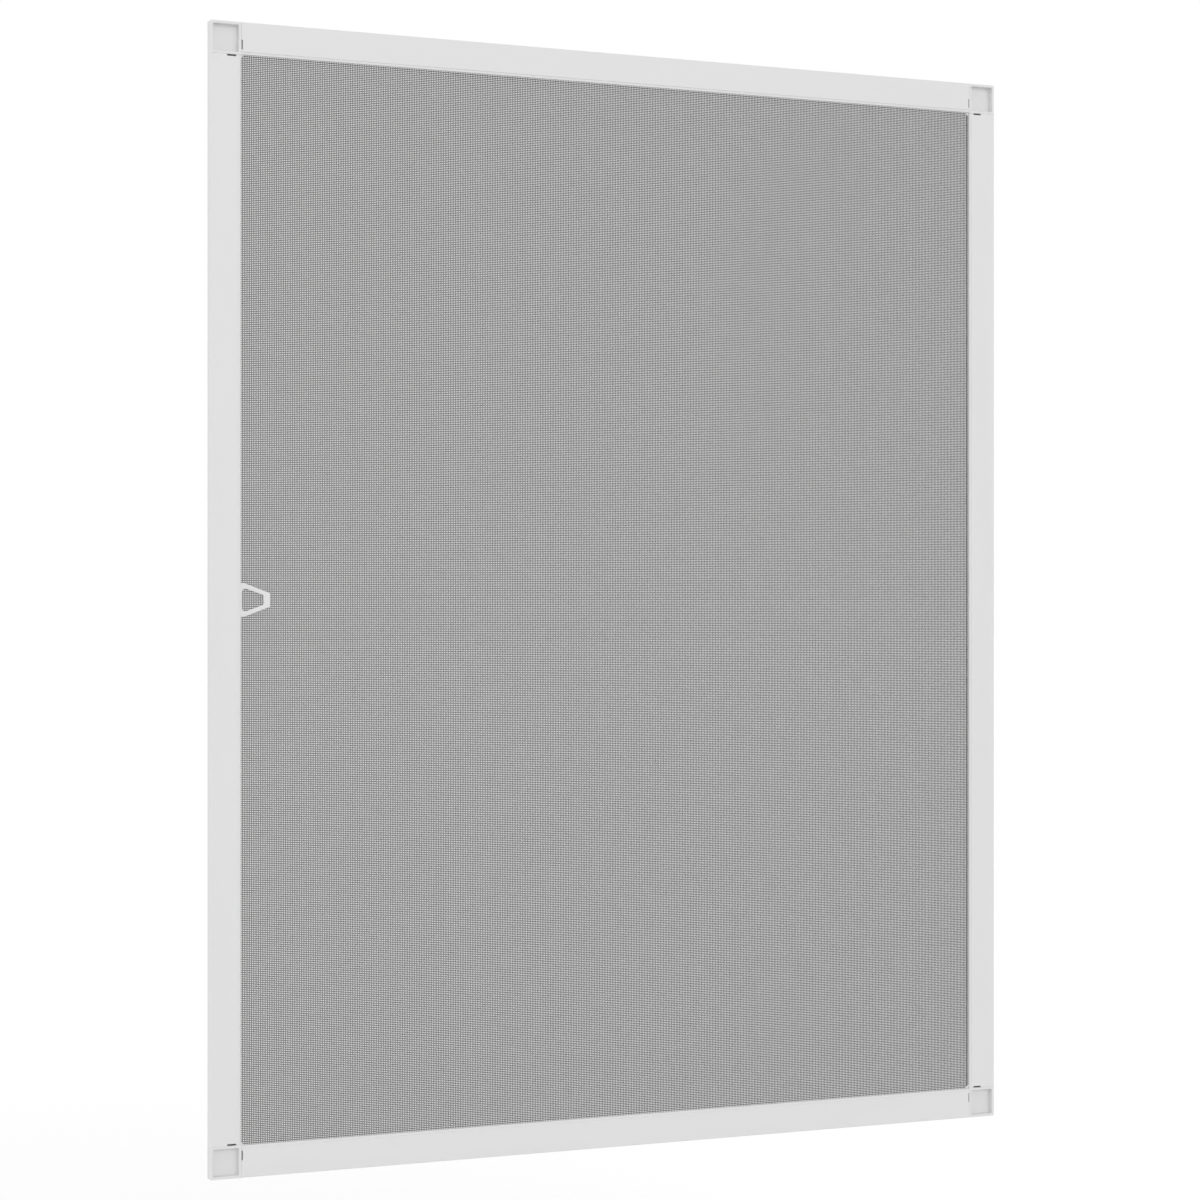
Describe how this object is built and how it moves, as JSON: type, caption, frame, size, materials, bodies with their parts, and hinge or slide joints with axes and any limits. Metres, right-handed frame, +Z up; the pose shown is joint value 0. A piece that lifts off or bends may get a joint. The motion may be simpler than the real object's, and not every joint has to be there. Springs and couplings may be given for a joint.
{
  "type": "window screen frame",
  "caption": "Flat rectangular insect screen: hollow straight profiles joined by recessed square corner blocks, fine mesh held at the back by rubber splines, and a small pull tab.",
  "frame": {"origin": "centre of the bounding box: midway across, up and between front and back face", "axes": "+X across to the viewer's right, +Y from the front face to the back face, +Z up along the longer side"},
  "size_m": [0.8, 0.0086, 1],
  "materials": {
    "frame_coat": "satin powder coat",
    "corner_plastic": "fine moulded grain",
    "tab_plastic": "smooth moulded",
    "spline_rubber": "matt extruded",
    "mesh_cloth": "woven coated glass-fibre thread"
  },
  "bodies": {
    "root": {"stile_left": "frame_coat", "stile_right": "frame_coat", "rail_top": "frame_coat", "rail_bottom": "frame_coat", "corner_top_left": "corner_plastic", "corner_top_right": "corner_plastic", "corner_bottom_left": "corner_plastic", "corner_bottom_right": "corner_plastic", "spline_left": "spline_rubber", "spline_right": "spline_rubber", "spline_top": "spline_rubber", "spline_bottom": "spline_rubber", "screen_mesh": "mesh_cloth", "pull_tab": "tab_plastic"}
  },
  "joints": []
}
